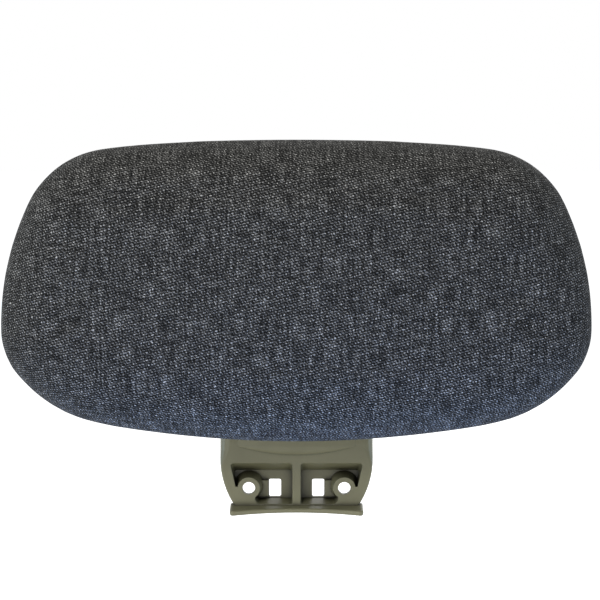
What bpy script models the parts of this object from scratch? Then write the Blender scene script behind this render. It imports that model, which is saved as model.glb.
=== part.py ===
"""Headrest of an office chair: a padded head cushion on a friction hinge, carried by a moulded bracket.

Metres, +Z up. The front of the cushion faces -Y and X runs across the chair. The origin lies on the
flat front of the bracket's central rib, midway between the two fixing holes.
"""
import math

import bmesh
import bpy
from mathutils import Vector

# Air left between two pieces that touch.
SEAT_GAP = 0.0003

# Cushion, front view: half of the outline is six arcs, from the middle of the top edge to the
# middle of the bottom edge. A turn is the heading where an arc ends.
PAD_WIDTH = 0.2951
PAD_HEIGHT = 0.1499
PAD_LIFT = 0.0313
TOP_TURN = math.radians(4.9)
SHOULDER_TURN = math.radians(64.3)
CORNER_TURN = math.radians(128.6)
LOWER_TURN = math.radians(170.1)
SHOULDER_RADIUS = 0.0479
CORNER_RADIUS = 0.0356
LOWER_RADIUS = 0.0695
ARC_STEPS = (2, 5, 4, 3, 4, 3)

# Cushion, section: a rounded border in front, a crowned middle and sides that turn in at the back.
FRONT_ROUND = 0.030
FRONT_DEPTH = 0.026
BORDER_POWER = 2.3
CROWN = 0.012
ROLL_DROP = 0.012
SIDE_INSET = 0.011
SIDE_DEPTH = 0.0155
HEM_WIDTH = 0.013
COVER_THICKNESS = 0.0012
BOARD_THICKNESS = 0.006

# Rear cover of the cushion.
SHELL_BACK_Y = -0.0047
SHELL_DEPTH = 0.0075
SHELL_SKIRT = 0.0015
SHELL_INSET = 0.0115
SHELL_ROUND = 0.012
SHELL_CROWN = 0.0015
SHELL_WALL = 0.0024
SHELL_WINDOW_CLEARANCE = 0.001
SHELL_WINDOW_CORNER = 0.004

# Screws of the rear cover: how far inside the hem they sit, and how far out the two rows are as a
# share of the half width.
SCREW_MARGIN = 0.0075
SCREW_ROW_SHARE = 0.39
SCREW_RADIUS = 0.0017
SCREW_HEAD_RADIUS = 0.0033
SCREW_HEAD_HEIGHT = 0.0020
SCREW_HEAD_SINK = 0.0006
SCREW_BOSS_WALL = 0.0011
SCREW_TIP_MARGIN = 0.0006

# Screwdriver cross: reach and half width of its arms, at its bottom and above the head.
CROSS_BOTTOM = (0.0008, 0.0003)
CROSS_MOUTH = (0.0024, 0.0007)

# Head profiles, as shares of the head's radius and height.
PAN_HEAD = ((0.0, 1.0), (0.7, 0.92), (1.0, 0.5), (1.0, 0.0))
DOME_HEAD = ((0.0, 1.0), (0.5, 0.95), (0.85, 0.6), (1.0, 0.15), (1.0, 0.0))

# Hinge: height above the cushion's lower edge, and place behind the bracket's front.
HINGE_RISE = 0.0617
HINGE_Y = 0.022
HUB_RADIUS = 0.011
HUB_HALF_WIDTH = 0.0205
PIVOT_RADIUS = 0.004
BUSH_WALL = 0.0017
BUSH_LENGTH = 0.014
BUSH_FLANGE_RADIUS = 0.009
BUSH_FLANGE = 0.0012
FRICTION_RADIUS = 0.010
FRICTION_THICKNESS = 0.0010
EAR_THICKNESS = 0.005
EAR_RADIUS = 0.012
EAR_ROOT = 0.032
PLATE_THICKNESS = 0.004
PLATE_MARGIN = 0.0078
PLATE_CORNER = 0.005
BOLT_SPACING_X = 0.072
BOLT_SPACING_Z = 0.029
BOLT_RADIUS = 0.003
BOLT_HEAD_RADIUS = 0.0055
BOLT_HEAD_HEIGHT = 0.0033
NUT_FLATS = 0.013
NUT_HEIGHT = 0.0065
HEAD_HEIGHT = 0.0053
DISC_THICKNESS = 0.0009
DISC_CONE = 0.0004
DISC_RADIUS = 0.008
THREAD_PROUD = 0.0015
CAP_WALL = 0.0016
CAP_LIP = 0.0005
CAP_END_ROOM = 0.0006
TEE_FLANGE_RADIUS = 0.008
TEE_FLANGE = 0.0012
TEE_BARREL_WALL = 0.0007

# Bracket, front view.
BRACKET_WIDTH = 0.080
BRACKET_DEPTH = 0.012
BRACKET_DROP = 0.0114
FLANK_TOP = 0.016
FLANK_RADIUS = 0.047
FLOOR_THICKNESS = 0.003
RIB_WIDTH = 0.0042
RIM_WIDTH = 0.0051
POCKET_TOP = 0.0135
POCKET_TOP_RAMP = 0.0054
POCKET_BOTTOM = -0.0084
POCKET_BOTTOM_RAMP = 0.0016
POCKET_CORNER = 0.0015
POCKET_DRAFT = 0.0004
MOUTH_LAND = 0.0002

# Screw bosses: a ring that flares to the pocket's floor, with a well for the head from behind.
HOLE_MARGIN = 0.015
HOLE_RADIUS = 0.0033
RING_RADIUS = 0.0058
RING_LAND = 0.0008
FOOT_RADIUS = 0.0078
HEAD_SEAT = 0.0035
WELL_STEP = 0.0006
NOTCH_REACH = 0.0012
NOTCH_LIFT = 0.0009
WEB_EDGE = 0.0033
WEB_DROP = 0.0042
WEB_CORNER = 0.0025

# Windows through the pocket floors, and the raised block between a window and its boss.
WINDOW_WIDTH = 0.0064
WINDOW_HEIGHT = 0.0097
WINDOW_MARGIN = 0.0026
WINDOW_DROP = 0.00165
WINDOW_CORNER = 0.0009
BLOCK_HEIGHT = 0.0025
BLOCK_LAND = 0.0003
BLOCK_TOP = 0.0029
BLOCK_BOTTOM = -0.0056

# Bulged upper panel, which rolls under to a smiling crease.
PANEL_MARGIN = 0.009
PANEL_BULGE = 0.0026
PANEL_END_SHARE = 0.985
PANEL_ROOT = 0.004
PANEL_FADE = 1.1
PANEL_FADE_START = 0.031
PANEL_FADE_END = 0.042
ROLL_START = 0.0223
CREASE_LOW = 0.0177

# Hook lip along the lower edge.
LIP_MARGIN = 0.0052
LIP_REACH = 0.0095
LIP_HOLLOW = 0.0040
LIP_TOP = -0.0089
LIP_SLOPE = math.tan(math.radians(8.0))
LIP_THICKNESS = 0.0026
LIP_ARCH = 0.0004
LIP_CORNER = 0.0022
LIP_END_ROUND = 0.0009
LIP_NOSE = 0.0005
LIP_ROOT = 0.003

# Arm from the bracket's face up and back to the hub.
LEAN_START = 0.021
TAPER_START = 0.037
TAPER_MARGIN = 0.012
ARM_TOP_DEPTH = 0.012
ARM_SHOULDER = 0.001
FACE_EDGE = 0.0010
ARM_EDGE = 0.0050
EDGE_GROWTH_START = 0.010
EDGE_GROWTH_END = 0.023
BACK_EDGE = 0.003
CORE_BOTTOM = 0.045
CORE_TOP_MARGIN = 0.018
CORE_WALL = 0.0040

# Places that follow from the sizes above.
HOLE_X = BRACKET_WIDTH / 2 - HOLE_MARGIN
WINDOW_X = HOLE_X - FOOT_RADIUS - WINDOW_MARGIN - WINDOW_WIDTH / 2
PANEL_HALF_WIDTH = BRACKET_WIDTH / 2 - PANEL_MARGIN
LIP_HALF_WIDTH = BRACKET_WIDTH / 2 - LIP_MARGIN
RIM_Y = SHELL_BACK_Y - SHELL_DEPTH
HEM_Y = RIM_Y - SEAT_GAP
SILHOUETTE_Y = HEM_Y - SIDE_DEPTH
FOAM_OFFSET = COVER_THICKNESS + SEAT_GAP
BOARD_BACK_Y = HEM_Y - FOAM_OFFSET
BOARD_FRONT_Y = BOARD_BACK_Y - BOARD_THICKNESS
FOAM_BACK_Y = BOARD_FRONT_Y - SEAT_GAP
PAD_MIDDLE_Z = PAD_LIFT + PAD_HEIGHT / 2
HINGE_Z = PAD_LIFT + HINGE_RISE
PLATE_FRONT_Y = BOARD_BACK_Y + SEAT_GAP
PLATE_BACK_Y = PLATE_FRONT_Y + PLATE_THICKNESS
BUSH_X = HUB_HALF_WIDTH + SEAT_GAP
FRICTION_X = BUSH_X + BUSH_FLANGE + SEAT_GAP
EAR_INNER_X = FRICTION_X + FRICTION_THICKNESS + SEAT_GAP
EAR_OUTER_X = EAR_INNER_X + EAR_THICKNESS
STACK_X = EAR_OUTER_X + SEAT_GAP
NUT_X = STACK_X + DISC_THICKNESS + DISC_CONE + SEAT_GAP
THREAD_END_X = NUT_X + NUT_HEIGHT + THREAD_PROUD
BORE_RADIUS = PIVOT_RADIUS + SEAT_GAP
BUSH_RADIUS = BORE_RADIUS + BUSH_WALL
ARM_TOP_Z = HINGE_Z - HUB_RADIUS / 2
ARM_TOP_HALF_WIDTH = HUB_HALF_WIDTH - ARM_SHOULDER

PLASTIC_GREY = (0.135, 0.138, 0.108)
HINGE_BLACK = (0.03, 0.03, 0.032)
CLOTH_CHARCOAL = (0.060, 0.063, 0.068)
FOAM_YELLOW = (0.70, 0.64, 0.45)
BOARD_BROWN = (0.42, 0.29, 0.16)
BUSH_WHITE = (0.75, 0.74, 0.70)
FIBRE_BROWN = (0.12, 0.07, 0.05)
SPRING_GREY = (0.30, 0.30, 0.31)
STEEL = (0.55, 0.55, 0.56)
ZINC = (0.62, 0.60, 0.52)

# How far a cutter runs past the face that it opens.
CUT_PAST = 0.004

# Edges that turn by more than this stay sharp.
SHARP_ANGLE = math.radians(32)


def smooth_step(value, start, end):
    """0 before start, 1 after end, with a soft change between."""
    t = min(max((value - start) / (end - start), 0.0), 1.0)
    return t * t * (3 - 2 * t)


def spread(start, end, steps):
    """Evenly spaced values from start to end, both included."""
    return [start + (end - start) * k / steps for k in range(steps + 1)]


def in_space(axis, a, b, place):
    """A point from its two section coordinates and its place along the axis."""
    return {"X": (place, a, b), "Y": (a, place, b), "Z": (a, b, place)}[axis]


def loft(rings, tip=None, open_start=False):
    """Bridges rings of equal count, then closes the ends with faces or with a fan to the tip."""
    bm = bmesh.new()
    loops = [[bm.verts.new(point) for point in ring] for ring in rings]
    for first, second in zip(loops, loops[1:]):
        for i in range(len(first)):
            bm.faces.new((first[i - 1], first[i], second[i], second[i - 1]))
    if not open_start:
        bm.faces.new(loops[0])
    if tip is None:
        bm.faces.new(loops[-1])
    else:
        point = bm.verts.new(tip)
        for i in range(len(loops[-1])):
            bm.faces.new((loops[-1][i - 1], loops[-1][i], point))
    bmesh.ops.recalc_face_normals(bm, faces=bm.faces)
    if bm.calc_volume(signed=True) < 0:
        bmesh.ops.reverse_faces(bm, faces=bm.faces)
    return bm


def prism(outline, axis, start, end):
    """An outline extruded along an axis."""
    return loft([[in_space(axis, a, b, place) for a, b in outline] for place in (start, end)])


def circle(centre, radius, steps=32):
    turns = [2 * math.pi * k / steps for k in range(steps)]
    return [(centre[0] + radius * math.cos(t), centre[1] + radius * math.sin(t)) for t in turns]


def rounded(corners, radii, steps=3):
    """A polygon whose corners become arcs. A radius of 0 leaves its corner sharp."""
    outline = []
    for i, (corner, radius) in enumerate(zip(corners, radii)):
        here = Vector(corner)
        if not radius:
            outline.append(tuple(here))
            continue
        before = (Vector(corners[i - 1]) - here).normalized()
        after = (Vector(corners[(i + 1) % len(corners)]) - here).normalized()
        half_angle = before.angle(after) / 2
        centre = here + (before + after).normalized() * radius / math.sin(half_angle)
        first = here + before * radius / math.tan(half_angle) - centre
        last = here + after * radius / math.tan(half_angle) - centre
        start = math.atan2(first.y, first.x)
        sweep = (math.atan2(last.y, last.x) - start + math.pi) % (2 * math.pi) - math.pi
        for angle in spread(start, start + sweep, steps):
            outline.append((centre.x + radius * math.cos(angle), centre.y + radius * math.sin(angle)))
    return outline


def rectangle(centre, half_width, half_height, corner, steps=3):
    x, z = centre
    corners = [
        (x - half_width, z - half_height),
        (x + half_width, z - half_height),
        (x + half_width, z + half_height),
        (x - half_width, z + half_height),
    ]
    return rounded(corners, [corner] * 4, steps)


def turned(profile, axis, ring=False, steps=24):
    """A turned piece on its own axis. The profile's points are (radius, place along the axis)."""
    bm = bmesh.new()
    verts = [bm.verts.new(in_space(axis, radius, 0.0, place)) for radius, place in profile]
    edges = [bm.edges.new(pair) for pair in zip(verts, verts[1:])]
    if ring:
        edges.append(bm.edges.new((verts[-1], verts[0])))
    direction = in_space(axis, 0.0, 0.0, 1.0)
    bmesh.ops.spin(bm, geom=verts + edges, axis=direction, angle=2 * math.pi, steps=steps, use_merge=True)
    bmesh.ops.remove_doubles(bm, verts=bm.verts, dist=0.000001)
    bmesh.ops.recalc_face_normals(bm, faces=bm.faces)
    return bm


def mirrored(bm):
    """Adds the copy on the other side of the middle plane."""
    copy = bmesh.ops.duplicate(bm, geom=bm.verts[:] + bm.edges[:] + bm.faces[:])["geom"]
    bmesh.ops.scale(bm, vec=(-1, 1, 1), verts=[part for part in copy if isinstance(part, bmesh.types.BMVert)])
    bmesh.ops.recalc_face_normals(bm, faces=bm.faces)
    return bm


def joined(pieces):
    """Several separate meshes in one, for a cutter that works in many places."""
    result = bmesh.new()
    for piece in pieces:
        mesh = bpy.data.meshes.new("piece")
        piece.to_mesh(mesh)
        piece.free()
        result.from_mesh(mesh)
        bpy.data.meshes.remove(mesh)
    return result


def rods(centres, radius, axis, start, end, steps=20):
    return joined([prism(circle(centre, radius, steps), axis, start, end) for centre in centres])


def new_object(name, bm, material=None):
    mesh = bpy.data.meshes.new(name)
    bm.to_mesh(mesh)
    bm.free()
    item = bpy.data.objects.new(name, mesh)
    bpy.context.scene.collection.objects.link(item)
    if material:
        mesh.materials.append(material)
    return item


def tool(name, bm):
    """A guide for a Boolean, which isn't a piece of the headrest."""
    item = new_object(name, bm)
    item.hide_render = True
    item.display_type = "WIRE"
    return item


def combine(item, operation, other):
    modifier = item.modifiers.new(other.name, "BOOLEAN")
    modifier.operation = operation
    modifier.solver = "EXACT"
    modifier.object = other


def settle(item):
    """Fixes the modifiers' result in the mesh, smooth apart from its real edges."""
    graph = bpy.context.evaluated_depsgraph_get()
    mesh = bpy.data.meshes.new_from_object(item.evaluated_get(graph))
    item.modifiers.clear()
    item.data = mesh
    mesh.shade_smooth()
    mesh.set_sharp_from_angle(angle=SHARP_ANGLE)
    return item


def new_material(name, colour, roughness, metallic=0.0):
    material = bpy.data.materials.new(name)
    material.use_nodes = True
    shader = material.node_tree.nodes["Principled BSDF"]
    shader.inputs["Base Color"].default_value = (*colour, 1.0)
    shader.inputs["Roughness"].default_value = roughness
    shader.inputs["Metallic"].default_value = metallic
    material.diffuse_color = (*colour, 1.0)
    return material


def pad_arcs():
    """Radii, end headings and steps of the arcs, so that they close to the width and height."""
    s1, c1 = math.sin(TOP_TURN), math.cos(TOP_TURN)
    s2, c2 = math.sin(SHOULDER_TURN), math.cos(SHOULDER_TURN)
    s4, c4 = math.sin(CORNER_TURN), math.cos(CORNER_TURN)
    s5, c5 = math.sin(LOWER_TURN), math.cos(LOWER_TURN)
    below_across = CORNER_RADIUS * (1 - s4) + LOWER_RADIUS * (s4 - s5)
    bottom_radius = (PAD_WIDTH / 2 - below_across) / s5
    below = -CORNER_RADIUS * c4 + LOWER_RADIUS * (c4 - c5) + bottom_radius * (1 + c5)
    across = PAD_WIDTH / 2 - SHOULDER_RADIUS * (s2 - s1)
    down = PAD_HEIGHT - SHOULDER_RADIUS * (c1 - c2) - below
    scale = s1 * c2 - (1 - s2) * (1 - c1)
    top_radius = (across * c2 - down * (1 - s2)) / scale
    flank_radius = (down * s1 - across * (1 - c1)) / scale
    radii = (top_radius, SHOULDER_RADIUS, flank_radius, CORNER_RADIUS, LOWER_RADIUS, bottom_radius)
    turns = (TOP_TURN, SHOULDER_TURN, math.pi / 2, CORNER_TURN, LOWER_TURN, math.pi)
    return list(zip(radii, turns, ARC_STEPS))


def pad_outline(inset):
    """The cushion's outline moved in by the inset, as (x, z) points from the middle of the top."""
    x, z, heading = 0.0, PAD_LIFT + PAD_HEIGHT - inset, 0.0
    half = [(x, z)]
    for radius, turn, steps in pad_arcs():
        reach = radius - inset
        for angle in spread(heading, turn, steps)[1:]:
            across = reach * (math.sin(angle) - math.sin(heading))
            down = reach * (math.cos(heading) - math.cos(angle))
            half.append((x + across, z - down))
        x, z = half[-1]
        heading = turn
    return half + [(-x, z) for x, z in reversed(half[1:-1])]


def shrunk(outline, factor):
    return [(x * factor, PAD_MIDDLE_Z + (z - PAD_MIDDLE_Z) * factor) for x, z in outline]


def fullness(x, z, fullest_z):
    """1 at the fullest point, falling to 0 towards the sides and the far edge."""
    reach = PAD_HEIGHT / 2 + abs(PAD_MIDDLE_Z - fullest_z)
    return (1 - (2 * x / PAD_WIDTH) ** 2) * (1 - ((z - fullest_z) / reach) ** 2)


def front_depth(x, z, offset):
    roll_z = PAD_MIDDLE_Z - ROLL_DROP
    return FRONT_DEPTH - offset + CROWN * fullness(x, z, roll_z)


def front_ring(offset, angle):
    """A ring of the rounded border: angle 0 is the silhouette and a right angle its inner end."""
    power = 2 / BORDER_POWER
    inset = offset + (FRONT_ROUND - offset) * (1 - max(math.cos(angle), 0.0) ** power)
    forward = math.sin(angle) ** power
    return [(x, SILHOUETTE_Y - forward * front_depth(x, z, offset), z) for x, z in pad_outline(inset)]


def middle_ring(offset, factor):
    outline = shrunk(pad_outline(FRONT_ROUND), factor)
    return [(x, SILHOUETTE_Y - front_depth(x, z, offset), z) for x, z in outline]


def side_ring(offset, angle):
    """A ring of the side: angle 0 is the silhouette and a right angle the flat back."""
    inset = SIDE_INSET - (SIDE_INSET - offset) * math.cos(angle)
    y = SILHOUETTE_Y + (SIDE_DEPTH - offset) * math.sin(angle)
    return [(x, y, z) for x, z in pad_outline(inset)]


def front_rings(offset):
    border = [front_ring(offset, angle) for angle in spread(0.0, math.pi / 2, 6)]
    return border + [middle_ring(offset, factor) for factor in (0.75, 0.5, 0.25)]


def front_tip(offset):
    return (0.0, SILHOUETTE_Y - front_depth(0.0, PAD_MIDDLE_Z, offset), PAD_MIDDLE_Z)


def build_cover():
    """Cloth over the front and sides, with its hem turned in on the back of the board."""
    hem = [(x, HEM_Y, z) for x, z in pad_outline(SIDE_INSET + HEM_WIDTH)]
    sides = [side_ring(0.0, angle) for angle in spread(math.pi / 2, 0.0, 4)[:-1]]
    bm = loft([hem] + sides + front_rings(0.0), tip=front_tip(0.0), open_start=True)
    forward = max(bm.faces, key=lambda face: -face.calc_center_median().y)
    if forward.normal.y > 0:
        bmesh.ops.reverse_faces(bm, faces=bm.faces)
    cover = new_object("fabric_cover", bm, new_material("charcoal_cloth", CLOTH_CHARCOAL, 0.95))
    wall = cover.modifiers.new("cloth thickness", "SOLIDIFY")
    wall.thickness = COVER_THICKNESS
    wall.offset = -1
    wall.use_even_offset = True
    return settle(cover)


def board_angle(y):
    """Where along the side's curve the inner layers reach a plane."""
    return math.asin(min((y - SILHOUETTE_Y) / (SIDE_DEPTH - FOAM_OFFSET), 1.0))


def bolt_places():
    half_x, half_z = BOLT_SPACING_X / 2, BOLT_SPACING_Z / 2
    return [(x, HINGE_Z + z) for x in (-half_x, half_x) for z in (-half_z, half_z)]


def heights_at(outline, across):
    """The lowest and the highest point of an outline at one place across."""
    heights = []
    for (x1, z1), (x2, z2) in zip(outline, outline[1:] + outline[:1]):
        if (x1 - across) * (x2 - across) <= 0 and x1 != x2:
            heights.append(z1 + (z2 - z1) * (across - x1) / (x2 - x1))
    return min(heights), max(heights)


def screw_places():
    """Two rows of two screws and one at either end, all as far inside the hem."""
    outline = pad_outline(SIDE_INSET + HEM_WIDTH + SCREW_MARGIN)
    row_x = SCREW_ROW_SHARE * PAD_WIDTH / 2
    end_x, end_z = max(outline)
    rows = [(x, z) for x in (-row_x, row_x) for z in heights_at(outline, row_x)]
    return rows + [(-end_x, end_z), (end_x, end_z)]


def build_foam():
    """Moulded foam with shallow recesses for the tee nuts' flanges."""
    sides = [side_ring(FOAM_OFFSET, angle) for angle in spread(board_angle(FOAM_BACK_Y), 0.0, 3)[:-1]]
    bm = loft(sides + front_rings(FOAM_OFFSET), tip=front_tip(FOAM_OFFSET))
    foam = new_object("foam_cushion", bm, new_material("foam", FOAM_YELLOW, 0.9))
    depth = FOAM_BACK_Y - TEE_FLANGE - SEAT_GAP
    recess = rods(bolt_places(), TEE_FLANGE_RADIUS + SEAT_GAP, "Y", depth, FOAM_BACK_Y + CUT_PAST)
    combine(foam, "DIFFERENCE", tool("tee_recess", recess))
    return settle(foam)


def build_board():
    """Board whose edge follows the inside of the cloth, drilled for tee nuts and cover screws."""
    angles = spread(board_angle(BOARD_FRONT_Y), math.pi / 2, 3)
    bm = loft([side_ring(FOAM_OFFSET, angle) for angle in angles])
    board = new_object("insert_board", bm, new_material("board", BOARD_BROWN, 0.7))
    start, end = BOARD_FRONT_Y - CUT_PAST, BOARD_BACK_Y + CUT_PAST
    barrel_hole = BOLT_RADIUS + SEAT_GAP + TEE_BARREL_WALL + SEAT_GAP
    combine(board, "DIFFERENCE", tool("barrel_holes", rods(bolt_places(), barrel_hole, "Y", start, end)))
    pilot = rods(screw_places(), SCREW_RADIUS + SEAT_GAP, "Y", start, end, 12)
    combine(board, "DIFFERENCE", tool("pilot_holes", pilot))
    return settle(board)


def shell_y(x, z, rise=1.0):
    dish = SHELL_DEPTH - SHELL_SKIRT + SHELL_CROWN * fullness(x, z, PAD_MIDDLE_Z)
    return RIM_Y + SHELL_SKIRT + rise * dish


def shell_ring(angle):
    inset = SHELL_INSET + SHELL_ROUND * (1 - math.cos(angle))
    return [(x, shell_y(x, z, math.sin(angle)), z) for x, z in pad_outline(inset)]


def screw_seat_y(x, z):
    """Seat of a cover screw, deep enough for its head to lie below the surface."""
    return shell_y(x, z) - SCREW_HEAD_SINK - SCREW_HEAD_HEIGHT - SEAT_GAP


def build_shell():
    """Moulded rear cover: a shallow dish with six screw bosses and the window for the hinge."""
    rim = [(x, RIM_Y, z) for x, z in pad_outline(SHELL_INSET)]
    rings = [rim] + [shell_ring(angle) for angle in spread(0.0, math.pi / 2, 4)]
    inner = pad_outline(SHELL_INSET + SHELL_ROUND)
    for factor in (0.72, 0.42):
        rings.append([(x, shell_y(x, z), z) for x, z in shrunk(inner, factor)])
    bm = loft(rings, tip=(0.0, shell_y(0.0, PAD_MIDDLE_Z), PAD_MIDDLE_Z), open_start=True)
    rearward = max(bm.faces, key=lambda face: face.calc_center_median().y)
    if rearward.normal.y < 0:
        bmesh.ops.reverse_faces(bm, faces=bm.faces)
    shell = new_object("back_shell", bm, new_material("shell_plastic", PLASTIC_GREY, 0.5))
    wall = shell.modifiers.new("wall", "SOLIDIFY")
    wall.thickness = SHELL_WALL
    wall.offset = -1
    wall.use_even_offset = True

    hole = SCREW_RADIUS + SEAT_GAP
    recess = SCREW_HEAD_RADIUS + SEAT_GAP
    bosses, holes, recesses = [], [], []
    for x, z in screw_places():
        back = shell_y(x, z)
        outer = circle((x, z), recess + SCREW_BOSS_WALL, 16)
        bosses.append(prism(outer, "Y", BOARD_BACK_Y + SEAT_GAP, back - SHELL_WALL / 2))
        holes.append(prism(circle((x, z), hole, 12), "Y", BOARD_BACK_Y - CUT_PAST, back + CUT_PAST))
        recesses.append(prism(circle((x, z), recess, 16), "Y", screw_seat_y(x, z), back + CUT_PAST))
    combine(shell, "UNION", tool("shell_bosses", joined(bosses)))
    combine(shell, "DIFFERENCE", tool("shell_holes", joined(holes)))
    combine(shell, "DIFFERENCE", tool("shell_recesses", joined(recesses)))

    half_width = EAR_OUTER_X + SHELL_WINDOW_CLEARANCE
    half_height = EAR_ROOT / 2 + SHELL_WINDOW_CLEARANCE
    outline = rectangle((0.0, HINGE_Z), half_width, half_height, SHELL_WINDOW_CORNER)
    window = prism(outline, "Y", BOARD_BACK_Y, SHELL_BACK_Y + SHELL_CROWN + CUT_PAST)
    combine(shell, "DIFFERENCE", tool("hinge_window", window))
    return settle(shell)


def cross_recess(depth, top):
    """A tapering cross for a screwdriver."""
    rings = []
    for place, (arm, half) in ((top - depth, CROSS_BOTTOM), (top + depth, CROSS_MOUTH)):
        plus = [(half, half), (half, arm), (-half, arm), (-half, half), (-arm, half), (-arm, -half)]
        rings.append([(x, place, z) for x, z in plus + [(-x, -z) for x, z in plus]])
    return loft(rings)


def fastener_profile(head, head_radius, head_height, shank_radius, length):
    """Half section of a screw with its seat at 0 and its head above it."""
    profile = [(radius * head_radius, height * head_height) for radius, height in head]
    return profile + [(shank_radius, 0.0), (shank_radius, -length), (0.0, -length)]


def build_screw_mesh():
    """Pan-head screw with its seat at its origin and its head towards +Y."""
    tip = BOARD_FRONT_Y + SCREW_TIP_MARGIN
    length = min(screw_seat_y(x, z) for x, z in screw_places()) + SEAT_GAP - tip
    profile = fastener_profile(PAN_HEAD, SCREW_HEAD_RADIUS, SCREW_HEAD_HEIGHT, SCREW_RADIUS, length)
    master = new_object("screw_master", turned(profile, "Y", steps=12))
    recess = tool("screwdriver_cross", cross_recess(SCREW_HEAD_HEIGHT / 2, SCREW_HEAD_HEIGHT))
    combine(master, "DIFFERENCE", recess)
    settle(master)
    mesh = master.data
    mesh.materials.append(new_material("zinc_screw", ZINC, 0.35, 1.0))
    bpy.data.objects.remove(master)
    return mesh


def copies(name, mesh, places):
    """Numbered pieces that share one mesh."""
    items = []
    for number, place in enumerate(places, 1):
        item = bpy.data.objects.new(f"{name}_{number}", mesh)
        item.location = place
        bpy.context.scene.collection.objects.link(item)
        items.append(item)
    return items


def turned_mesh(name, profile, axis, material, ring=False, steps=24):
    mesh = bpy.data.meshes.new(name)
    bm = turned(profile, axis, ring, steps)
    bm.to_mesh(mesh)
    bm.free()
    mesh.materials.append(material)
    mesh.shade_smooth()
    mesh.set_sharp_from_angle(angle=SHARP_ANGLE)
    return mesh


def build_screws():
    mesh = build_screw_mesh()
    places = [(x, screw_seat_y(x, z) + SEAT_GAP, z) for x, z in screw_places()]
    return copies("shell_screw", mesh, places)


def build_tee_nuts():
    hole = BOLT_RADIUS + SEAT_GAP
    barrel = hole + TEE_BARREL_WALL
    length = TEE_FLANGE + BOARD_THICKNESS
    profile = [(hole, 0.0), (TEE_FLANGE_RADIUS, 0.0), (TEE_FLANGE_RADIUS, TEE_FLANGE)]
    profile += [(barrel, TEE_FLANGE), (barrel, length), (hole, length)]
    zinc = new_material("zinc_nut", ZINC, 0.4, 1.0)
    mesh = turned_mesh("tee_nut", profile, "Y", zinc, ring=True, steps=12)
    return copies("tee_nut", mesh, [(x, FOAM_BACK_Y - TEE_FLANGE, z) for x, z in bolt_places()])


def build_bolts():
    seat = PLATE_BACK_Y + SEAT_GAP
    length = seat - (FOAM_BACK_Y - TEE_FLANGE / 2)
    profile = fastener_profile(DOME_HEAD, BOLT_HEAD_RADIUS, BOLT_HEAD_HEIGHT, BOLT_RADIUS, length)
    mesh = turned_mesh("hinge_bolt", profile, "Y", new_material("bolt_steel", STEEL, 0.35, 1.0), steps=12)
    return copies("hinge_bolt", mesh, [(x, seat, z) for x, z in bolt_places()])


def ear_outline():
    """Ear in side view: straight flanks from the plate that run into an arc about the hinge."""
    root_y = PLATE_BACK_Y - PLATE_THICKNESS / 2
    reach, half = HINGE_Y - root_y, EAR_ROOT / 2
    tangent = math.atan2(half, -reach) - math.acos(EAR_RADIUS / math.hypot(reach, half))
    arc = [
        (HINGE_Y + EAR_RADIUS * math.cos(angle), HINGE_Z + EAR_RADIUS * math.sin(angle))
        for angle in spread(-tangent, tangent, 14)
    ]
    return [(root_y, HINGE_Z - half)] + arc + [(root_y, HINGE_Z + half)]


def build_hinge_base():
    """Plate on the board with two ears round the bracket's hub."""
    half_x = BOLT_SPACING_X / 2 + PLATE_MARGIN
    half_z = BOLT_SPACING_Z / 2 + PLATE_MARGIN
    outline = rectangle((0.0, HINGE_Z), half_x, half_z, PLATE_CORNER, 4)
    plate = prism(outline, "Y", PLATE_FRONT_Y, PLATE_BACK_Y)
    base = new_object("hinge_base", plate, new_material("hinge_plastic", HINGE_BLACK, 0.45))
    ears = mirrored(prism(ear_outline(), "X", EAR_INNER_X, EAR_OUTER_X))
    combine(base, "UNION", tool("ears", ears))
    start, end = PLATE_FRONT_Y - CUT_PAST, PLATE_BACK_Y + CUT_PAST
    holes = rods(bolt_places(), BOLT_RADIUS + SEAT_GAP, "Y", start, end)
    combine(base, "DIFFERENCE", tool("plate_holes", holes))
    reach = EAR_OUTER_X + CUT_PAST
    bore = rods([(HINGE_Y, HINGE_Z)], BORE_RADIUS, "X", -reach, reach)
    combine(base, "DIFFERENCE", tool("ear_bore", bore))
    return settle(base)


def pair(name, mesh, distance):
    """A left and a right piece on the hinge's axis, each facing outwards."""
    items = []
    for side, sign, turn in (("left", -1, math.pi), ("right", 1, 0.0)):
        item = bpy.data.objects.new(f"{name}_{side}", mesh)
        item.location = (sign * distance, HINGE_Y, HINGE_Z)
        item.rotation_euler = (0.0, 0.0, turn)
        bpy.context.scene.collection.objects.link(item)
        items.append(item)
    return items


def build_bushes():
    profile = [(BORE_RADIUS, -BUSH_LENGTH), (BUSH_RADIUS, -BUSH_LENGTH), (BUSH_RADIUS, 0.0)]
    profile += [(BUSH_FLANGE_RADIUS, 0.0), (BUSH_FLANGE_RADIUS, BUSH_FLANGE), (BORE_RADIUS, BUSH_FLANGE)]
    white = new_material("bush_acetal", BUSH_WHITE, 0.4)
    return pair("hub_bush", turned_mesh("hub_bush", profile, "X", white, ring=True), BUSH_X)


def build_friction_washers():
    profile = [(BORE_RADIUS, 0.0), (FRICTION_RADIUS, 0.0)]
    profile += [(radius, FRICTION_THICKNESS) for radius, _ in reversed(profile)]
    fibre = new_material("friction_fibre", FIBRE_BROWN, 0.8)
    mesh = turned_mesh("friction_washer", profile, "X", fibre, ring=True)
    return pair("friction_washer", mesh, FRICTION_X)


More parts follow.
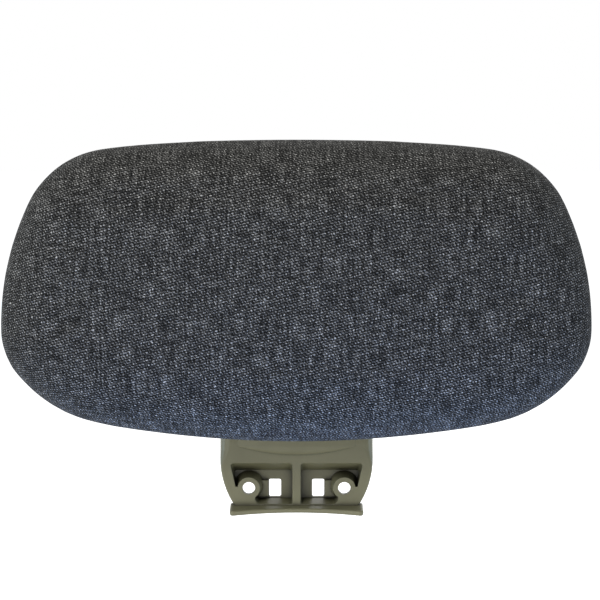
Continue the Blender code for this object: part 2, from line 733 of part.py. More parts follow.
def build_caps():
    """Caps that hide the bolt's head and its nut."""
    radius = EAR_RADIUS - CAP_LIP
    length = THREAD_END_X - STACK_X + CAP_END_ROOM + CAP_WALL
    inner = radius - CAP_WALL
    profile = [
        (0.0, length),
        (radius - 2 * CAP_WALL, length),
        (radius - CAP_WALL / 2, length - CAP_WALL / 2),
        (radius, length - 2 * CAP_WALL),
        (radius, 0.0),
        (inner, 0.0),
        (inner, length - CAP_WALL),
        (0.0, length - CAP_WALL),
    ]
    plastic = new_material("cap_plastic", HINGE_BLACK, 0.4)
    return pair("hinge_cap", turned_mesh("hinge_cap", profile, "X", plastic), STACK_X)


def hexagon(flats):
    return circle((0.0, 0.0), flats / math.sqrt(3), 6)


def on_hinge_axis(item):
    item.location = (0.0, HINGE_Y, HINGE_Z)
    return item


def build_pivot_bolt():
    """Hex bolt through ears, washers, bushes and hub, with its head on the left."""
    shank = prism(circle((0.0, 0.0), PIVOT_RADIUS), "X", -STACK_X - HEAD_HEIGHT / 2, THREAD_END_X)
    bolt = new_object("pivot_bolt", shank, new_material("pivot_steel", STEEL, 0.3, 1.0))
    head = tool("pivot_head", prism(hexagon(NUT_FLATS), "X", -STACK_X - HEAD_HEIGHT, -STACK_X))
    combine(bolt, "UNION", head)
    return on_hinge_axis(settle(bolt))


def build_lock_nut():
    nut = new_object("lock_nut", prism(hexagon(NUT_FLATS), "X", NUT_X, NUT_X + NUT_HEIGHT))
    nut.data.materials.append(new_material("nut_steel", STEEL, 0.35, 1.0))
    bore = rods([(0.0, 0.0)], BORE_RADIUS, "X", NUT_X - CUT_PAST, NUT_X + NUT_HEIGHT + CUT_PAST)
    combine(nut, "DIFFERENCE", tool("nut_bore", bore))
    return on_hinge_axis(settle(nut))


def build_disc_spring():
    profile = [(BORE_RADIUS, DISC_CONE), (DISC_RADIUS, 0.0)]
    profile += [(radius, place + DISC_THICKNESS) for radius, place in reversed(profile)]
    steel = new_material("spring_steel", SPRING_GREY, 0.35, 1.0)
    spring = new_object("disc_spring", turned(profile, "X", ring=True), steel)
    spring.location = (STACK_X, HINGE_Y, HINGE_Z)
    return settle(spring)


def bracket_half_width(z):
    """Flanks that draw in below, a parallel face, and an arm that tapers to the hub."""
    half = BRACKET_WIDTH / 2
    if z < FLANK_TOP:
        return half - FLANK_RADIUS + math.sqrt(FLANK_RADIUS**2 - (FLANK_TOP - z) ** 2)
    taper = smooth_step(z, TAPER_START, HINGE_Z - TAPER_MARGIN)
    return half + (ARM_TOP_HALF_WIDTH - half) * taper


def bracket_front(z):
    return (HINGE_Y - ARM_TOP_DEPTH / 2) * smooth_step(z, LEAN_START, HINGE_Z)


def bracket_back(z):
    top = HINGE_Y + ARM_TOP_DEPTH / 2
    return BRACKET_DEPTH + (top - BRACKET_DEPTH) * smooth_step(z, LEAN_START, HINGE_Z)


def bracket_section(z):
    """Level section of the bracket: its front corners grow from crisp to round up the arm."""
    half, front, back = bracket_half_width(z), bracket_front(z), bracket_back(z)
    growth = smooth_step(z, EDGE_GROWTH_START, EDGE_GROWTH_END)
    edge = FACE_EDGE + (ARM_EDGE - FACE_EDGE) * growth
    corners = [(-half, front), (half, front), (half, back), (-half, back)]
    return [(x, y, z) for x, y in rounded(corners, [edge, edge, BACK_EDGE, BACK_EDGE], 3)]


def bracket_body():
    levels = spread(-BRACKET_DROP, FLANK_TOP, 8)[:-1] + spread(FLANK_TOP, ARM_TOP_Z, 18)
    return loft([bracket_section(z) for z in levels])


def panel_section(x):
    """Upright section of the upper panel at one place across, from its root below to its top."""
    swell = 1 - (x / PANEL_HALF_WIDTH) ** 2
    drop = (ROLL_START - CREASE_LOW) * swell
    profile = [(PANEL_ROOT, ROLL_START - drop)]
    for angle in spread(math.pi / 2, 0.0, 4)[1:-1]:
        profile.append((-PANEL_BULGE * swell * math.cos(angle), ROLL_START - drop * math.sin(angle)))
    for z in spread(ROLL_START, PANEL_FADE_END, 6):
        fade = PANEL_FADE * smooth_step(z, PANEL_FADE_START, PANEL_FADE_END)
        profile.append((bracket_front(z) - PANEL_BULGE * (swell - fade), z))
    profile.append((bracket_front(PANEL_FADE_END) + PANEL_ROOT, PANEL_FADE_END))
    return [(x, y, z) for y, z in profile]


def panel_bulge():
    reach = PANEL_HALF_WIDTH * PANEL_END_SHARE
    return loft([panel_section(x) for x in spread(-reach, reach, 16)])


def end_rounding(x, radius):
    """How far a round corner at the lip's end has drawn in at one place across."""
    over = max(abs(x) - LIP_HALF_WIDTH + radius, 0.0)
    return radius - math.sqrt(max(radius**2 - over**2, 0.0))


def lip_front(x):
    """Front edge of the lip: hollow in plan, for a curved chair frame, with rounded corners."""
    hollow = LIP_HOLLOW * (1 - (x / LIP_HALF_WIDTH) ** 2)
    return -LIP_REACH + hollow + end_rounding(x, LIP_CORNER)


def lip_section(x):
    front, inset = lip_front(x), end_rounding(x, LIP_END_ROUND)
    plane = LIP_TOP + LIP_SLOPE * front
    top = plane - inset
    bottom = plane - LIP_THICKNESS + LIP_ARCH * (1 - (x / LIP_HALF_WIDTH) ** 2) + inset
    nose = min(LIP_NOSE, (top - bottom) / 3)
    profile = [
        (LIP_ROOT, top + LIP_SLOPE * (LIP_ROOT - front)),
        (front + nose, top + LIP_SLOPE * nose),
        (front, top - nose),
        (front, bottom + nose),
        (front + nose, bottom),
        (LIP_ROOT, bottom),
    ]
    return [(x, y, z) for y, z in profile]


def lip_bar():
    straight = LIP_HALF_WIDTH - LIP_CORNER
    corner = [straight + LIP_CORNER * math.sin(angle) for angle in spread(0.0, math.pi / 2, 4)[1:]]
    places = [-x for x in reversed(corner)] + spread(-straight, straight, 14) + corner
    return loft([lip_section(x) for x in places])


def pocket_ring(depth_y, share):
    """Outline of the right pocket: share 0 is its mouth and share 1 its floor."""
    draft = POCKET_DRAFT * share
    top = POCKET_TOP - POCKET_TOP_RAMP * share
    bottom = POCKET_BOTTOM + POCKET_BOTTOM_RAMP * share
    notch_x = HOLE_X + RING_RADIUS + NOTCH_REACH
    outer_x = BRACKET_WIDTH / 2 - RIM_WIDTH
    slant = (outer_x - notch_x) / (POCKET_TOP - NOTCH_LIFT)
    web_x = HOLE_X - WEB_EDGE - draft
    corners = [
        (RIB_WIDTH / 2 + draft, top),
        (outer_x - draft - slant * (POCKET_TOP - top), top),
        (notch_x - draft, NOTCH_LIFT),
        (HOLE_X, 0.0),
        (web_x, -WEB_DROP),
        (web_x, bottom),
        (RIB_WIDTH / 2 + draft, bottom),
    ]
    soft = POCKET_CORNER
    web_round = min(WEB_CORNER, -bottom - WEB_DROP)
    radii = [soft, soft, 0.0, 0.0, 0.0, web_round, soft / 2]
    return [(x, depth_y, z) for x, z in rounded(corners, radii, 4)]


def pocket_tool():
    """Both pockets, less the bosses and blocks that stay standing in them."""
    floor_y = BRACKET_DEPTH - FLOOR_THICKNESS
    mouth = [pocket_ring(place, 0.0) for place in (-CUT_PAST, -MOUTH_LAND)]
    pockets = tool("pockets", mirrored(loft(mouth + [pocket_ring(floor_y, 1.0)])))
    past = BRACKET_DEPTH + CUT_PAST
    flare = (FOOT_RADIUS - RING_RADIUS) / (floor_y - RING_LAND)
    stages = [(-2 * CUT_PAST, RING_RADIUS), (RING_LAND, RING_RADIUS)]
    stages.append((past, RING_RADIUS + flare * (past - RING_LAND)))
    rings = [[(x, y, z) for x, z in circle((HOLE_X, 0.0), radius)] for y, radius in stages]
    combine(pockets, "DIFFERENCE", tool("boss_posts", mirrored(loft(rings))))
    inner = WINDOW_X + WINDOW_WIDTH / 2 + BLOCK_LAND
    middle = (inner + HOLE_X) / 2, (BLOCK_TOP + BLOCK_BOTTOM) / 2
    outline = rectangle(middle, (HOLE_X - inner) / 2, (BLOCK_TOP - BLOCK_BOTTOM) / 2, 0.0)
    block = prism(outline, "Y", floor_y - BLOCK_HEIGHT, past)
    combine(pockets, "DIFFERENCE", tool("blocks", mirrored(block)))
    return pockets


def window_tool():
    centre = (WINDOW_X, -WINDOW_DROP)
    outline = rectangle(centre, WINDOW_WIDTH / 2, WINDOW_HEIGHT / 2, WINDOW_CORNER)
    floor_y = BRACKET_DEPTH - FLOOR_THICKNESS
    window = prism(outline, "Y", floor_y - CUT_PAST, BRACKET_DEPTH + CUT_PAST)
    return tool("windows", mirrored(window))


def core_tool():
    """Two hollows that lighten the arm behind the cushion, either side of a middle rib."""
    rings = []
    for z in spread(CORE_BOTTOM, HINGE_Z - CORE_TOP_MARGIN, 7):
        inner, outer = RIB_WIDTH / 2, bracket_half_width(z) - CORE_WALL
        mouth, floor_y = bracket_front(z) - CUT_PAST, bracket_back(z) - FLOOR_THICKNESS
        rings.append([(inner, mouth, z), (outer, mouth, z), (outer, floor_y, z), (inner, floor_y, z)])
    return tool("arm_cores", mirrored(loft(rings)))


def build_bracket():
    """One moulding: body with arm, bulged panel, lip and hub, then pockets, windows and holes."""
    grey = new_material("bracket_plastic", PLASTIC_GREY, 0.42)
    bracket = new_object("mount_bracket", bracket_body(), grey)
    hub = prism(circle((HINGE_Y, HINGE_Z), HUB_RADIUS, 40), "X", -HUB_HALF_WIDTH, HUB_HALF_WIDTH)
    for name, bm in (("panel_bulge", panel_bulge()), ("hook_lip", lip_bar()), ("hub", hub)):
        combine(bracket, "UNION", tool(name, bm))
    combine(bracket, "DIFFERENCE", pocket_tool())
    combine(bracket, "DIFFERENCE", window_tool())

    centres = [(-HOLE_X, 0.0), (HOLE_X, 0.0)]
    past = BRACKET_DEPTH + CUT_PAST
    holes = rods(centres, HOLE_RADIUS, "Y", -CUT_PAST, past, 32)
    combine(bracket, "DIFFERENCE", tool("screw_holes", holes))
    wells = rods(centres, RING_RADIUS - WELL_STEP, "Y", HEAD_SEAT, past, 32)
    combine(bracket, "DIFFERENCE", tool("head_wells", wells))

    combine(bracket, "DIFFERENCE", core_tool())
    reach = HUB_HALF_WIDTH + CUT_PAST
    bore = rods([(HINGE_Y, HINGE_Z)], BUSH_RADIUS + SEAT_GAP, "X", -reach, reach, 32)
    combine(bracket, "DIFFERENCE", tool("hub_bore", bore))
    return settle(bracket)


def hinge_empty():
    """The tilt axis: X through this point carries the cushion and all that turns with it."""
    axis = bpy.data.objects.new("tilt_axis", None)
    axis.location = (0.0, HINGE_Y, HINGE_Z)
    bpy.context.scene.collection.objects.link(axis)
    return axis


def hang_on(axis, items):
    bpy.context.view_layer.update()
    for item in items:
        item.parent = axis
        item.matrix_parent_inverse = axis.matrix_world.inverted()


def remove_tools():
    for item in list(bpy.data.objects):
        if item.type == "MESH" and item.hide_render:
            bpy.data.objects.remove(item, do_unlink=True)


def build_headrest():
    for item in list(bpy.data.objects):
        bpy.data.objects.remove(item, do_unlink=True)
    build_bracket()
    build_bushes()
    build_friction_washers()
    cushion = [build_cover(), build_foam(), build_board(), build_shell(), build_hinge_base()]
    cushion += build_tee_nuts() + build_bolts() + build_screws() + build_caps()
    cushion += [build_pivot_bolt(), build_lock_nut(), build_disc_spring()]
    hang_on(hinge_empty(), cushion)
    remove_tools()


build_headrest()
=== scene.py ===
"""Looks of an office chair headrest: a cloth head cushion on a friction hinge and a moulded bracket."""
import math

import bpy
from mathutils import Euler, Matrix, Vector
from mathutils.bvhtree import BVHTree


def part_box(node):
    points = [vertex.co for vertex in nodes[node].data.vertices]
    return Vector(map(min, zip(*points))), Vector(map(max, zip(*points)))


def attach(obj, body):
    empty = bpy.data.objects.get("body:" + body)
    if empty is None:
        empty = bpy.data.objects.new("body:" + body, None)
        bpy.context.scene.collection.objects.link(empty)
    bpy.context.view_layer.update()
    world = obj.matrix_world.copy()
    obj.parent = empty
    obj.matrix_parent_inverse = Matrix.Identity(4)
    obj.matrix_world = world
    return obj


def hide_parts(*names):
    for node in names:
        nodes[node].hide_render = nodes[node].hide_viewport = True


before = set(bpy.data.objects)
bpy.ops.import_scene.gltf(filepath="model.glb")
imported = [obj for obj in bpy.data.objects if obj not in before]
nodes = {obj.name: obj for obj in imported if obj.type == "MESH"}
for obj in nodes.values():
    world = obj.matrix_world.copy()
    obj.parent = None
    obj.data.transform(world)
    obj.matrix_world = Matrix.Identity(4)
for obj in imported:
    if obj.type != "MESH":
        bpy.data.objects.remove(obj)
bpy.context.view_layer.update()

# The cushion's cover, in metres.
VOXEL = 0.0036
CLOTH_WALL = 0.0009
FRONT_RADIUS = 0.028
SIDE_RADIUS = 0.0135
LONG_EDGE = 0.0245
LONG_EDGE_CUTS = 3
ROUNDING_LEVELS = 3
ROUNDING_TRIES = 5

# The cover's swelling: its start, how far it may move, the held border, the air and the moments it takes.
START_SMALLER = 0.0012
SWELL_OUT = 0.0013
SWELL_IN = 0.0003
PIN_DEPTH = 0.0030
AIR_PRESSURE = 4
LAST_MOMENT = 20

# The weave's three crossing rows of floats: rows in a metre sideways and upwards, and how strong they are.
FLOAT_ROWS = ((-218.0, 782.0, 1.0), (454.0, 546.0, 0.9), (688.0, 266.0, 0.7))
WANDER_ACROSS = 0.0022
WANDER_ALONG = 0.0014

# The yarn's lightness: its middle, what each pattern adds, and the greys from dark to pale.
LIGHTNESS = 0.455
FLOATS_SHARE = 0.14
FLECK_SHARE = 1.4
STREAKS_SHARE = 0.6
YARN_GREYS = ((0.0, 0.001), (0.35, 0.005), (0.60, 0.034), (0.82, 0.165), (1.0, 0.400))

# The plastics' grain and the two reaches of the painted shade that darkens recesses and creases; the metals'
# softened edge.
PLASTIC_GRAIN = 0.00004
RECESS_REACH = 0.008
CREASE_REACH = 0.0025
METAL_EDGE = 0.0002

# The studio's floor: how far below, and where its glow starts and is full, from the middle outwards.
FLOOR_DROP = 0.16
GLOW_STARTS = 0.22
GLOW_FULL = 0.42

# The photograph's camera, and the surround as the camera and as the surfaces see it.
CAMERA_AIM = (0.0018, 0.0, 0.099)
CAMERA_DISTANCE = 0.85
CAMERA_RISE = math.radians(5.4)
CAMERA_LENS = 98.5
SURROUND_SEEN = 1.0
SURROUND_LIGHT = 0.32

# The lamps: name, place, aim, size, power and colour.
PAD_MIDDLE = (0.0, 0.0, 0.09)
LAMPS = (
    ("top_light", (-0.15, -0.35, 1.20), PAD_MIDDLE, 0.6, 9.0, (1.0, 0.985, 0.90)),
    ("key_light", (-0.60, -1.15, 0.88), PAD_MIDDLE, 0.5, 12.0, (1.0, 0.98, 0.92)),
    ("front_light", (-0.80, -1.05, 0.02), PAD_MIDDLE, 0.6, 3.0, (1.0, 0.99, 0.92)),
    ("low_light", (0.04, -0.20, -0.13), (0.04, -0.11, 0.3), 0.35, 1.6, (0.20, 0.44, 1.0)),
    ("left_light", (-1.0, -0.10, 0.0), (0.0, 0.0, 0.03), 0.5, 2.5, (0.50, 0.75, 1.0)),
    ("right_light", (1.0, -0.10, 0.0), (0.0, 0.0, 0.03), 0.5, 2.5, (0.50, 0.75, 1.0)),
    ("back_light", (0.5, 1.2, 0.7), PAD_MIDDLE, 0.9, 6.0, (1.0, 1.0, 1.0)),
)


class Signal:
    """A shader socket that takes part in sums: each sum adds its Math node."""

    def __init__(self, finish, socket):
        self.finish = finish
        self.socket = socket

    def maths(self, operation, first, second=0.0):
        return self.finish.node("Math", {"operation": operation}, {0: first, 1: second})["Value"]

    def __add__(self, other):
        return self.maths("ADD", self, other)

    def __radd__(self, other):
        return self.maths("ADD", other, self)

    def __sub__(self, other):
        return self.maths("SUBTRACT", self, other)

    def __rsub__(self, other):
        return self.maths("SUBTRACT", other, self)

    def __mul__(self, other):
        return self.maths("MULTIPLY", self, other)

    def __rmul__(self, other):
        return self.maths("MULTIPLY", other, self)

    def cosine(self):
        return self.maths("COSINE", self)


class Outputs:
    """A node's outputs by name, each as a signal."""

    def __init__(self, finish, made):
        self.finish = finish
        self.made = made

    def __getitem__(self, name):
        return Signal(self.finish, self.made.outputs[name])


class Finish:
    """A material whose nodes are added one by one in front of its Principled shader."""

    def __init__(self, name, **constants):
        self.material = bpy.data.materials.new(name)
        self.material.use_nodes = True
        self.tree = self.material.node_tree
        self.shader = self.tree.nodes["Principled BSDF"]
        self.connect(self.shader, {key.replace("_", " "): value for key, value in constants.items()})

    def connect(self, made, values):
        for key, value in values.items():
            if isinstance(value, Signal):
                self.tree.links.new(value.socket, made.inputs[key])
            else:
                made.inputs[key].default_value = value

    def node(self, kind, settings=None, values=None):
        """Any node: its settings first, then the values or links of its sockets."""
        made = self.tree.nodes.new("ShaderNode" + kind)
        for key, value in (settings or {}).items():
            if key == "stops":
                ramp = made.color_ramp.elements
                while len(ramp) < len(value):
                    ramp.new(1.0)
                for stop, (place, colour) in zip(ramp, value):
                    stop.position = place
                    stop.color = (*colour, 1.0)
            else:
                setattr(made, key, value)
        self.connect(made, values or {})
        return Outputs(self, made)

    def surface(self, **values):
        """Links or sets the shader's own sockets."""
        self.connect(self.shader, {key.replace("_", " "): value for key, value in values.items()})
        return self.material

    def here(self):
        return self.node("TexCoord")["Object"]

    def noise(self, where, scale, detail=2.0, roughness=0.5):
        values = {"Vector": where, "Scale": scale, "Detail": detail, "Roughness": roughness}
        return self.node("TexNoise", None, values)["Fac"]

    def between(self, value, low, high, start=0.0, end=1.0):
        """The value's way from low to high, as a way from start to end."""
        values = {"Value": value, "From Min": low, "From Max": high, "To Min": start, "To Max": end}
        return self.node("MapRange", {"clamp": True}, values)["Result"]

    def tinted(self, share, first, second):
        """A colour between two, by a share from 0 to 1."""
        stops = [(0.0, first), (1.0, second)]
        return self.node("ValToRGB", {"stops": stops}, {"Fac": share})["Color"]

    def toned(self, first, second):
        """One linked colour times another."""
        settings = {"data_type": "RGBA", "blend_type": "MULTIPLY"}
        return Signal(self, self.node("Mix", settings, {"Factor": 1.0, 6: first, 7: second}).made.outputs[2])


def melange_cloth():
    """Charcoal melange crepe: floats of yarn in three crossing rows, flecked and streaked with pale fibre."""
    cloth = Finish("melange_cloth", Roughness=0.95, Specular_IOR_Level=0.08, Sheen_Weight=0.02,
                   Sheen_Roughness=0.5)
    plan = cloth.node("UVMap", {"uv_map": "cloth_plan"})["UV"]
    flat = cloth.node("SeparateXYZ", None, {"Vector": plan})
    wander = cloth.noise(plan, 420.0, 3.0, 0.6) - 0.5
    across, along = flat["X"] + wander * WANDER_ACROSS, flat["Y"] + wander * WANDER_ALONG

    floats = 0.0
    for sideways, upwards, share in FLOAT_ROWS:
        row = across * (2 * math.pi * sideways) + along * (2 * math.pi * upwards)
        floats = row.cosine() * share + floats
    fleck = cloth.noise(plan, 2300.0, 2.0, 0.7) - 0.5
    level = cloth.node("CombineXYZ", None, {"X": across * 90.0, "Y": along * 1100.0})["Vector"]
    upright = cloth.node("CombineXYZ", None, {"X": across * 950.0, "Y": along * 70.0, "Z": 4.0})["Vector"]
    streaks = cloth.noise(level, 1.0, 2.0) + cloth.noise(upright, 1.0, 2.0) - 1.0
    lightness = LIGHTNESS + floats * FLOATS_SHARE + fleck * FLECK_SHARE + streaks * STREAKS_SHARE
    greys = [(place, (grey, grey, grey)) for place, grey in YARN_GREYS]
    yarn = cloth.node("ValToRGB", {"stops": greys}, {"Fac": lightness})["Color"]
    bump = cloth.node("Bump", None, {"Strength": 0.6, "Distance": 0.00025, "Height": floats * 0.3 + fleck})
    return cloth.surface(**{"Base Color": yarn, "Normal": bump["Normal"]})


def moulded_plastic(name, colour, pale, roughness, edge):
    """Moulded plastic: spark-eroded grain, soft edges, rubbed patches, and painted shade darkening its
    recesses and creases.
    """
    plastic = Finish(name, IOR=1.46)
    here = plastic.here()
    patches = plastic.noise(here, 38.0, 3.0)
    specks = plastic.noise(here, 2600.0, 2.0)
    tone = plastic.between(patches * 0.8 + specks * 0.2, 0.35, 0.65)
    rubbed = plastic.between(patches, 0.30, 0.70, roughness - 0.05, roughness + 0.07)
    edges = plastic.node("Bevel", {"samples": 8}, {"Radius": edge})["Normal"]
    values = {"Strength": 0.35, "Distance": PLASTIC_GRAIN, "Height": specks, "Normal": edges}
    bump = plastic.node("Bump", None, values)
    # Painted shade: ambient occlusion darkens the base colour towards a dark olive in recesses and creases.
    recess = plastic.node("AmbientOcclusion", {"samples": 8}, {"Distance": RECESS_REACH})["AO"]
    crease = plastic.node("AmbientOcclusion", {"samples": 8}, {"Distance": CREASE_REACH})["AO"]
    painted_shade = plastic.between(recess, 0.05, 0.75) * plastic.between(crease, 0.45, 0.92)
    painted_shade_tint = plastic.tinted(painted_shade, (0.16, 0.155, 0.12), (1.0, 1.0, 1.0))
    return plastic.surface(**{
        "Base Color": plastic.toned(plastic.tinted(tone, colour, pale), painted_shade_tint),
        "Roughness": rubbed,
        "Normal": bump["Normal"],
    })


def metal(name, colour, pale, roughness):
    """Plated or bright steel with faint turning marks and duller patches."""
    steel = Finish(name, Metallic=1.0)
    here = steel.here()
    patches = steel.noise(here, 300.0, 3.0)
    turned = steel.node("VectorMath", {"operation": "MULTIPLY"}, {0: here, 1: (1.0, 14.0, 14.0)})["Vector"]
    scratches = steel.noise(turned, 900.0, 2.0)
    edges = steel.node("Bevel", {"samples": 6}, {"Radius": METAL_EDGE})["Normal"]
    values = {"Strength": 0.3, "Distance": 0.00003, "Height": scratches, "Normal": edges}
    bump = steel.node("Bump", None, values)
    return steel.surface(**{
        "Base Color": steel.tinted(patches, colour, pale),
        "Roughness": steel.between(patches, 0.3, 0.7, roughness - 0.06, roughness + 0.12),
        "Normal": bump["Normal"],
    })


def dress(node_name, material):
    """Gives a CAD node its finish, on every material slot that it has."""
    for place in nodes[node_name].material_slots:
        place.material = material


def only(piece):
    """Selects this piece alone and makes it the active one."""
    bpy.ops.object.select_all(action="DESELECT")
    piece.select_set(True)
    bpy.context.view_layer.objects.active = piece


def apply_all(piece):
    only(piece)
    for modifier in list(piece.modifiers):
        bpy.ops.object.modifier_apply(modifier=modifier.name)


def delete_faces(piece, unwanted):
    """Deletes the faces for which the test says so."""
    only(piece)
    bpy.context.tool_settings.mesh_select_mode = (False, False, True)
    bpy.ops.object.mode_set(mode="EDIT")
    bpy.ops.mesh.select_all(action="DESELECT")
    bpy.ops.object.mode_set(mode="OBJECT")
    for face in piece.data.polygons:
        face.select = unwanted(face)
    bpy.ops.object.mode_set(mode="EDIT")
    bpy.ops.mesh.delete(type="FACE")
    bpy.ops.object.mode_set(mode="OBJECT")


def copy_of_node(node_name, name):
    """A merged copy of a CAD node's mesh, as a free object."""
    piece = bpy.data.objects.new(name, nodes[node_name].data.copy())
    bpy.context.scene.collection.objects.link(piece)
    piece.data.materials.clear()
    only(piece)
    bpy.ops.object.mode_set(mode="EDIT")
    bpy.ops.mesh.select_all(action="SELECT")
    bpy.ops.mesh.remove_doubles(threshold=0.000005)
    bpy.ops.object.mode_set(mode="OBJECT")
    return piece


def round_through(piece):
    """Subdivides a mesh so that the round surface still passes through its own points."""
    rounding = piece.modifiers.new("rounding", "SUBSURF")
    rounding.levels = rounding.render_levels = ROUNDING_LEVELS
    aims = [vertex.co.copy() for vertex in piece.data.vertices]
    for _ in range(ROUNDING_TRIES):
        shaped = piece.evaluated_get(bpy.context.evaluated_depsgraph_get()).data.vertices
        misses = [aim - shaped[i].co for i, aim in enumerate(aims)]
        for vertex, miss in zip(piece.data.vertices, misses):
            vertex.co += miss
        piece.data.update()
        bpy.context.view_layer.update()
    apply_all(piece)


def even_out(skin, middle):
    """Cuts the rings' long edges on an arc, so that the rings' points stand about evenly."""
    width, height = skin.dimensions.x, skin.dimensions.z
    bpy.ops.object.mode_set(mode="EDIT")
    bpy.ops.mesh.select_all(action="DESELECT")
    bpy.ops.object.mode_set(mode="OBJECT")
    mesh = skin.data
    for edge in mesh.edges:
        start, end = (mesh.vertices[i].co for i in edge.vertices)
        along, place = end - start, (start + end) / 2 - middle
        outward = Vector((place.x / width, 0.0, place.z / height))
        size = 2 * max(abs(outward.x), abs(outward.z))
        run = Vector((along.x / width, 0.0, along.z / height))
        level = abs(along.y) < 0.2 * along.length
        around = abs(run.dot(outward)) < 0.8 * run.length * outward.length
        if level and around and along.length > LONG_EDGE * size:
            edge.select = True
    bpy.ops.object.mode_set(mode="EDIT")
    bpy.ops.mesh.subdivide(number_cuts=LONG_EDGE_CUTS, smoothness=1.0)
    bpy.ops.object.mode_set(mode="OBJECT")


def smooth_skin():
    """The outer skin of the CAD cover, closed over the back and rounded."""
    skin = copy_of_node("fabric_cover", "smooth_skin")
    low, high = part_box("fabric_cover")
    middle = (Vector(low) + Vector(high)) / 2
    delete_faces(skin, lambda face: face.normal.dot(face.center - middle) < 0)
    bpy.ops.object.mode_set(mode="EDIT")
    bpy.context.tool_settings.mesh_select_mode = (False, True, False)
    bpy.ops.mesh.select_all(action="SELECT")
    bpy.ops.mesh.tris_convert_to_quads(face_threshold=math.radians(40), shape_threshold=math.radians(40))
    bpy.ops.mesh.select_all(action="DESELECT")
    bpy.ops.mesh.select_non_manifold()
    bpy.ops.mesh.edge_face_add()
    bpy.ops.mesh.select_all(action="SELECT")
    bpy.ops.mesh.normals_make_consistent(inside=False)
    bpy.ops.object.mode_set(mode="OBJECT")
    even_out(skin, middle)
    round_through(skin)
    return skin


def build_cover():
    """Cloth cover: even quads on the CAD cover's skin, swollen by a cloth simulation, open at the back."""
    skin = smooth_skin()
    cover = bpy.data.objects.new("cushion_cover", skin.data.copy())
    bpy.context.scene.collection.objects.link(cover)
    remesh = cover.modifiers.new("even quads", "REMESH")
    remesh.mode = "VOXEL"
    remesh.voxel_size = VOXEL
    apply_all(cover)
    wrap = cover.modifiers.new("wrap", "SHRINKWRAP")
    wrap.target = skin
    wrap.wrap_method = "NEAREST_SURFACEPOINT"
    relax = cover.modifiers.new("relax", "SMOOTH")
    relax.iterations = 6
    again = cover.modifiers.new("wrap again", "SHRINKWRAP")
    again.target = skin
    again.wrap_method = "NEAREST_SURFACEPOINT"
    apply_all(cover)
    bpy.data.objects.remove(skin)

    mesh = cover.data
    normals = [vertex.normal.copy() for vertex in mesh.vertices]
    rest = [vertex.co.copy() for vertex in mesh.vertices]
    plan_cloth(mesh, rest, normals)
    swell(cover, rest, normals)

    surface = nodes["fabric_cover"].data
    places = [vertex.co for vertex in surface.vertices]
    tree = BVHTree.FromPolygons(places, [list(face.vertices) for face in surface.polygons])
    delete_faces(cover, lambda face: tree.find_nearest(face.center)[3] > 2 * CLOTH_WALL)
    finer = cover.modifiers.new("finer", "SUBSURF")
    finer.levels = finer.render_levels = 1
    wall = cover.modifiers.new("cloth wall", "SOLIDIFY")
    wall.thickness = CLOTH_WALL
    wall.offset = -1
    apply_all(cover)
    bpy.ops.object.shade_smooth()
    cover.data.materials.append(melange_cloth())
    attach(cover, "cushion")
    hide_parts("fabric_cover")
    bpy.data.collections["lit_from_below"].objects.link(cover)


def plan_cloth(mesh, places, normals):
    """Lays the cloth flat in a UV map, in metres: the yarns run level in front and on over the border."""
    laid = []
    for place, normal in zip(places, normals):
        sideways = Vector((normal.x, 0.0, normal.z))
        turn = math.atan2(sideways.length, -normal.y)
        front_turn = min(turn, math.pi / 2)
        side_turn = max(turn - math.pi / 2, 0.0)
        extra = FRONT_RADIUS * (front_turn - math.sin(front_turn))
        extra += SIDE_RADIUS * (side_turn + 1 - math.cos(side_turn))
        outward = sideways.normalized() if sideways.length > 0.0001 else sideways
        laid.append((place.x + outward.x * extra, place.z + outward.z * extra))
    plan = mesh.uv_layers.new(name="cloth_plan")
    for loop in mesh.loops:
        plan.data[loop.index].uv = laid[loop.vertex_index]


def swell(cover, rest, normals):
    """Fills the cover by air pressure from a slightly smaller start, held at the back."""
    mesh = cover.data
    back = max(place.y for place in rest)
    held = cover.vertex_groups.new(name="held")
    held.add([i for i, place in enumerate(rest) if place.y > back - PIN_DEPTH], 1.0, "REPLACE")
    for vertex, place, normal in zip(mesh.vertices, rest, normals):
        if place.y <= back - PIN_DEPTH:
            vertex.co = place - normal * START_SMALLER
    start = [vertex.co.copy() for vertex in mesh.vertices]
    only(cover)
    cloth = cover.modifiers.new("cloth", "CLOTH")
    settings = cloth.settings
    settings.use_pressure = True
    settings.uniform_pressure_force = AIR_PRESSURE
    settings.vertex_group_mass = held.name
    settings.effector_weights.gravity = 0
    scene = bpy.context.scene
    for moment in range(1, LAST_MOMENT + 1):
        scene.frame_set(moment)
    blown = cover.evaluated_get(bpy.context.evaluated_depsgraph_get())
    swollen = [vertex.co.copy() for vertex in blown.data.vertices]
    cover.modifiers.clear()
    for vertex, first, last, place, normal in zip(mesh.vertices, start, swollen, rest, normals):
        outward = (last - first).dot(normal)
        vertex.co = place + normal * min(max(outward, -SWELL_IN), SWELL_OUT)
    scene.frame_set(1)


def build_floor():
    """Pale floor well below the headrest, dim under it and glowing to white further out."""
    bpy.ops.object.select_all(action="DESELECT")
    bpy.ops.mesh.primitive_plane_add(size=40.0, location=(0.0, 0.0, -FLOOR_DROP))
    floor = bpy.context.active_object
    floor.name = "studio_floor"
    pale = Finish("pale_floor", Roughness=0.9, Base_Color=(0.75, 0.75, 0.75, 1.0), Specular_IOR_Level=0.0,
                  Emission_Strength=0.84)
    away = pale.node("VectorMath", {"operation": "LENGTH"}, {0: pale.here()})["Value"]
    glow = pale.tinted(pale.between(away, GLOW_STARTS, GLOW_FULL), (0.10, 0.11, 0.12), (0.98, 0.99, 1.0))
    floor.data.materials.append(pale.surface(Emission_Color=glow))


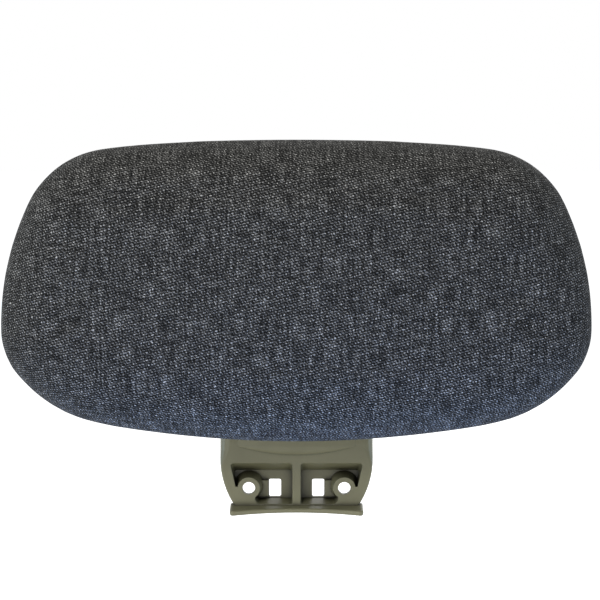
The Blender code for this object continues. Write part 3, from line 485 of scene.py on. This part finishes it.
def add_light(name, place, aim, size, power, colour):
    """A square lamp at its place, turned to its aim, that the camera doesn't see."""
    data = bpy.data.lights.new(name, "AREA")
    data.size = size
    data.energy = power
    data.color = colour
    lamp = bpy.data.objects.new(name, data)
    lamp.location = place
    lamp.rotation_euler = (Vector(aim) - Vector(place)).to_track_quat("-Z", "Y").to_euler()
    lamp.visible_camera = False
    bpy.context.scene.collection.objects.link(lamp)


def build_studio():
    """Soft lights in a white surround, and the camera at the photograph's viewing angle."""
    for lamp in LAMPS:
        add_light(*lamp)
    lit_from_below = bpy.data.collections.new("lit_from_below")
    bpy.data.objects["low_light"].light_linking.receiver_collection = lit_from_below

    world = bpy.data.worlds.new("surround")
    bpy.context.scene.world = world
    world.use_nodes = True
    links, kinds = world.node_tree.links, world.node_tree.nodes
    kinds["Background"].inputs["Color"].default_value = (1.0, 1.0, 1.0, 1.0)
    rays = kinds.new("ShaderNodeLightPath")
    strength = kinds.new("ShaderNodeMapRange")
    strength.inputs["To Min"].default_value = SURROUND_SEEN
    strength.inputs["To Max"].default_value = SURROUND_LIGHT
    links.new(rays.outputs["Is Diffuse Ray"], strength.inputs["Value"])
    links.new(strength.outputs["Result"], kinds["Background"].inputs["Strength"])

    camera = bpy.data.cameras.new("camera")
    camera.lens = CAMERA_LENS
    camera.sensor_width = 36.0
    eye = bpy.data.objects.new("camera", camera)
    backward = Vector((0.0, -math.cos(CAMERA_RISE), math.sin(CAMERA_RISE)))
    eye.location = Vector(CAMERA_AIM) + CAMERA_DISTANCE * backward
    eye.rotation_euler = Euler((math.pi / 2 - CAMERA_RISE, 0.0, 0.0))
    bpy.context.scene.collection.objects.link(eye)
    bpy.context.scene.camera = eye
    bpy.context.scene.view_settings.view_transform = "Standard"


def finish_nodes():
    """Each CAD node that stays gets the finish of the real piece."""
    grey, pale_grey = (0.118, 0.114, 0.067), (0.150, 0.145, 0.088)
    bracket = moulded_plastic("bracket_plastic_grain", grey, pale_grey, 0.42, 0.0005)
    shell = moulded_plastic("shell_plastic_grain", grey, pale_grey, 0.46, 0.0006)
    nylon = moulded_plastic("glass_filled_nylon", (0.016, 0.016, 0.017), (0.032, 0.032, 0.034), 0.45, 0.0005)
    acetal = moulded_plastic("white_acetal", (0.68, 0.67, 0.62), (0.78, 0.77, 0.73), 0.35, 0.0003)
    fibre = moulded_plastic("friction_fibre_felt", (0.08, 0.045, 0.03), (0.17, 0.10, 0.07), 0.85, 0.0002)
    foam = moulded_plastic("open_cell_foam", (0.60, 0.54, 0.36), (0.74, 0.68, 0.50), 0.9, 0.001)
    board = moulded_plastic("birch_board", (0.36, 0.24, 0.13), (0.50, 0.36, 0.21), 0.7, 0.0004)
    zinc = metal("zinc_plate", (0.50, 0.49, 0.44), (0.68, 0.66, 0.58), 0.36)
    steel = metal("bright_steel", (0.46, 0.46, 0.47), (0.62, 0.62, 0.63), 0.30)
    finishes = {
        "mount_bracket": bracket,
        "back_shell": shell,
        "hinge_base": nylon,
        "hinge_cap": nylon,
        "hub_bush": acetal,
        "friction_washer": fibre,
        "foam_cushion": foam,
        "insert_board": board,
        "tee_nut": zinc,
        "shell_screw": zinc,
        "hinge_bolt": steel,
        "pivot_bolt": steel,
        "lock_nut": steel,
        "disc_spring": steel,
    }
    for start, material in finishes.items():
        for name in nodes:
            if name.startswith(start):
                dress(name, material)


build_studio()
build_floor()
finish_nodes()
build_cover()
